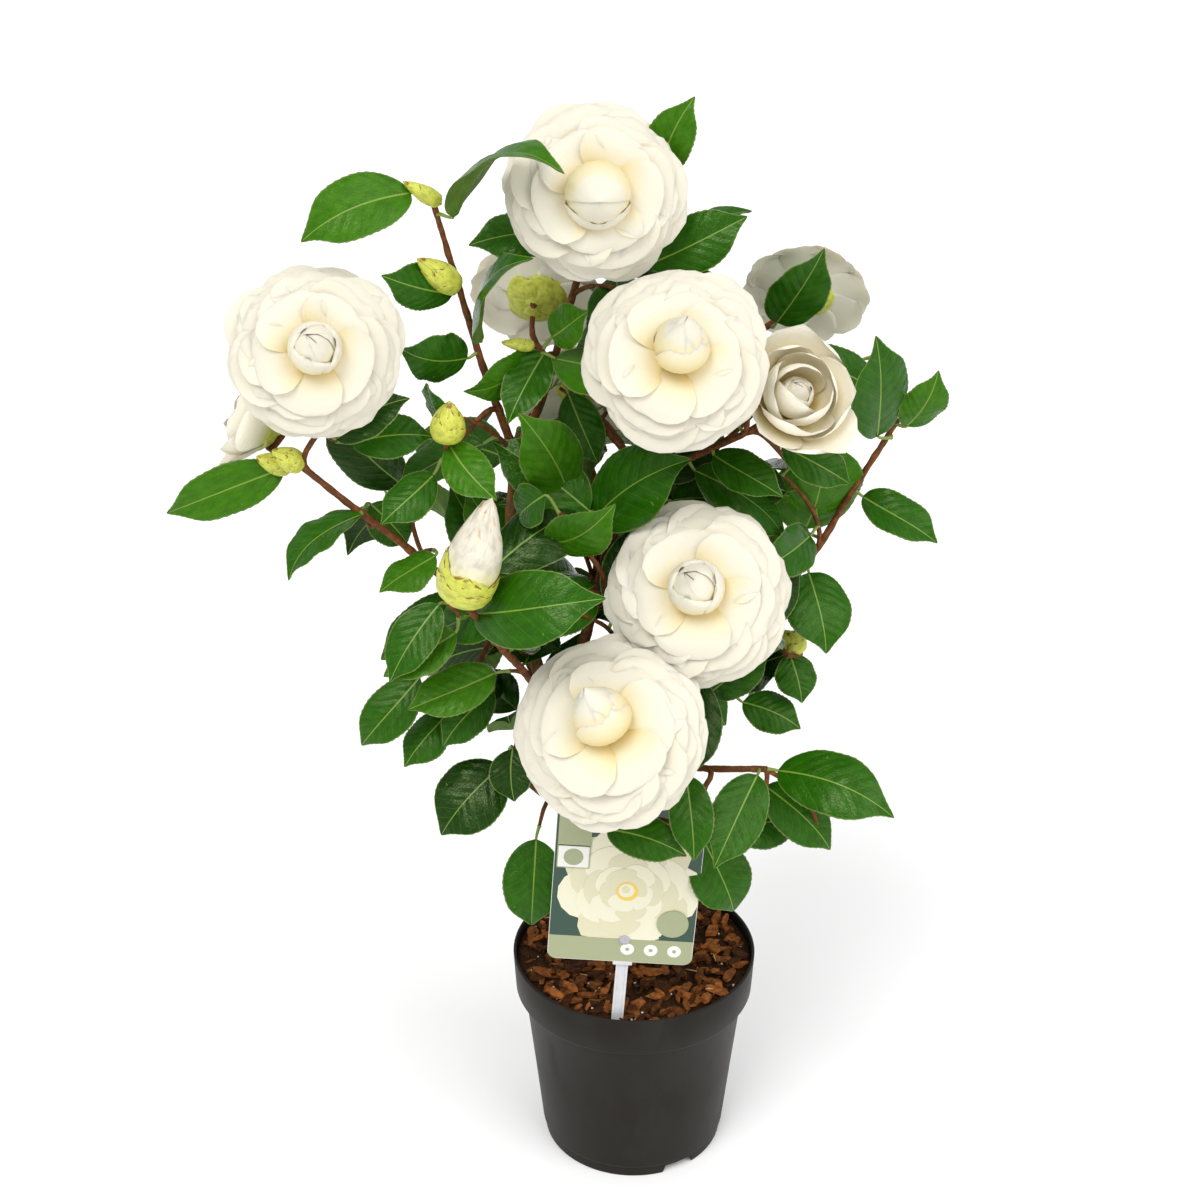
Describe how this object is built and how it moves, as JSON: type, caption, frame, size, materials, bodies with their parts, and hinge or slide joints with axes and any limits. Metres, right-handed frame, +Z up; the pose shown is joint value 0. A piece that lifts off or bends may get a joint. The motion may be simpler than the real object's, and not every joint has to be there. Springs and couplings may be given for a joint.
{
  "type": "potted camellia shrub",
  "caption": "Young white-flowered camellia shrub with glossy evergreen leaves, forked woody stem and double blooms, growing in a black nursery pot with a plant label.",
  "frame": {"origin": "centre of the pot's flat underside", "axes": "+Z up, +X to the right and -Y towards the viewer, on the side that the plant label faces"},
  "size_m": [0.4192, 0.2706, 0.6673],
  "materials": {
    "pot": "matt black moulded plastic",
    "soil": "damp bark chips and peat",
    "label": "satin plastic card and stick",
    "bark": "rough grey-brown bark, red-brown on young shoots",
    "foliage": "glossy dark green leaves",
    "petals": "soft cream-white petals"
  },
  "bodies": {
    "root": {"pot": "pot", "root_ball": "soil", "label_card": "label", "label_stick": "label", "label_button": "label", "stem": "bark", "leader": "bark", "bough_centre": "bark", "bough_right": "bark", "bough_left_low": "bark", "bough_front": "bark", "bough_low_right": "bark", "bough_low_left": "bark", "bough_left": "bark", "bough_top_left": "bark", "bough_top": "bark", "bough_cross": "bark", "bough_upper": "bark", "bough_upper_front": "bark", "bough_right_mid": "bark", "shoot_centre": "bark", "bough_front_right": "bark", "bough_back_left": "bark", "bough_back": "bark", "bough_back_right": "bark", "mass_bloom_top": "petals", "mass_bloom_left": "petals", "mass_bloom_upper_centre": "petals", "mass_cup_right": "petals", "mass_bloom_right": "petals", "mass_bloom_front": "petals", "mass_bloom_upper_right": "petals", "mass_bloom_top_back": "petals", "mass_bloom_far_left": "petals", "mass_half_open_bud": "petals", "mass_tip_left": "foliage", "mass_shoot_left": "foliage", "mass_shoulder": "foliage", "mass_centre_left": "foliage", "mass_left_middle": "foliage", "mass_centre_high": "foliage", "mass_centre": "foliage", "mass_centre_right": "foliage", "mass_centre_front": "foliage", "mass_right_middle": "foliage", "mass_right_tip": "foliage", "mass_left_low": "foliage", "mass_left_lower": "foliage", "mass_low_left": "foliage", "mass_left_heart": "foliage", "mass_right_heart": "foliage", "mass_right_low": "foliage", "mass_low_right": "foliage", "mass_low_front": "foliage", "mass_back_left": "foliage", "mass_back_middle": "petals", "mass_back_right": "foliage"}
  },
  "joints": []
}
